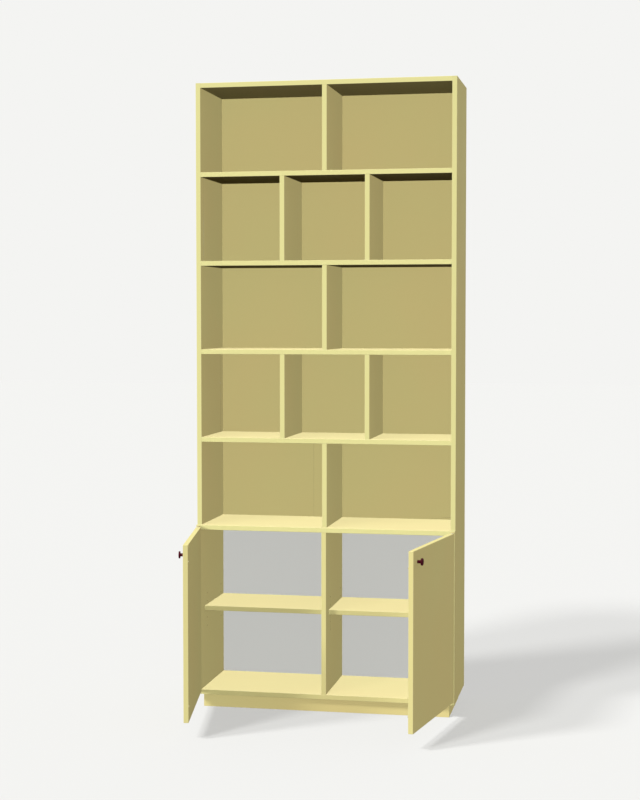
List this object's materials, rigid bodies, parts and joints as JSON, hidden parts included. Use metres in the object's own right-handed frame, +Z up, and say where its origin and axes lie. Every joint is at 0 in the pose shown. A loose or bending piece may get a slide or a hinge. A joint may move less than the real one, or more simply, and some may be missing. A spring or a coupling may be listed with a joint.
{
  "type": "bookcase with cabinet doors",
  "caption": "Tall bookcase of open divided rows over a slightly deeper base cabinet with two hinged doors, round knobs and a recessed plinth.",
  "frame": {"origin": "on the floor, under the middle of the plinth", "axes": "+Z up, +X along the width to the right as seen from the front, +Y from the front to the back"},
  "size_m": [1, 0.8433, 2.4],
  "materials": {
    "cream_lacquer": "cream-yellow matt lacquer on board",
    "cream_panel": "cream-yellow matt lacquer on thin fibreboard",
    "grey_panel": "light grey matt lacquer on thin fibreboard",
    "burgundy_lacquer": "dark burgundy satin lacquer on turned wood",
    "lacquered_steel": "cream-yellow lacquer on steel",
    "zinc_steel": "bright zinc plate",
    "dowel_wood": "plain beech",
    "nylon": "natural nylon",
    "magnet": "dark sintered magnet, magnetised across",
    "bumper_rubber": "clear soft rubber, toned by the lacquer behind it"
  },
  "bodies": {
    "carcass": {"base_back": "grey_panel", "base_back_screws": "zinc_steel", "base_divider": "cream_lacquer", "base_dowels": "dowel_wood", "base_floor": "cream_lacquer", "base_side_left": "cream_lacquer", "base_side_right": "cream_lacquer", "base_top": "cream_lacquer", "cabinet_shelf_left": "cream_lacquer", "cabinet_shelf_right": "cream_lacquer", "catch_magnets": "magnet", "divider_row1_1": "cream_lacquer", "divider_row2_1": "cream_lacquer", "divider_row2_2": "cream_lacquer", "divider_row3_1": "cream_lacquer", "divider_row4_1": "cream_lacquer", "divider_row4_2": "cream_lacquer", "divider_row5_1": "cream_lacquer", "hinge_bracket_lower_left": "lacquered_steel", "hinge_bracket_lower_right": "lacquered_steel", "hinge_bracket_upper_left": "lacquered_steel", "hinge_bracket_upper_right": "lacquered_steel", "hinge_pins": "zinc_steel", "hinge_screws": "zinc_steel", "plinth_front": "cream_lacquer", "plinth_middle": "cream_lacquer", "plinth_rear": "cream_lacquer", "plinth_side_left": "cream_lacquer", "plinth_side_right": "cream_lacquer", "shelf_pins_left": "zinc_steel", "shelf_pins_right": "zinc_steel", "top_board": "cream_lacquer", "upper_back": "cream_panel", "upper_back_screws": "zinc_steel", "upper_dowels": "dowel_wood", "upper_shelf_1": "cream_lacquer", "upper_shelf_2": "cream_lacquer", "upper_shelf_3": "cream_lacquer", "upper_shelf_4": "cream_lacquer", "upper_side_left": "cream_lacquer", "upper_side_right": "cream_lacquer"},
    "door_left": {"door_bumpers_left": "bumper_rubber", "door_bushes_left": "nylon", "door_left": "cream_lacquer", "knob_bolt_left": "zinc_steel", "knob_left": "burgundy_lacquer", "strike_plate_left": "lacquered_steel", "strike_screw_left": "lacquered_steel"},
    "door_right": {"door_bumpers_right": "bumper_rubber", "door_bushes_right": "nylon", "door_right": "cream_lacquer", "knob_bolt_right": "zinc_steel", "knob_right": "burgundy_lacquer", "strike_plate_right": "lacquered_steel", "strike_screw_right": "lacquered_steel"}
  },
  "joints": [
    {"name": "door_left_hinge", "type": "hinge", "parent": "carcass", "child": "door_left", "pos_m": [-0.491, -0.1934, 0.384], "axis": [0, 0, 1], "range_deg": [-100, 80]},
    {"name": "door_right_hinge", "type": "hinge", "parent": "carcass", "child": "door_right", "pos_m": [0.491, -0.1934, 0.384], "axis": [0, 0, 1], "range_deg": [-80, 100]}
  ]
}
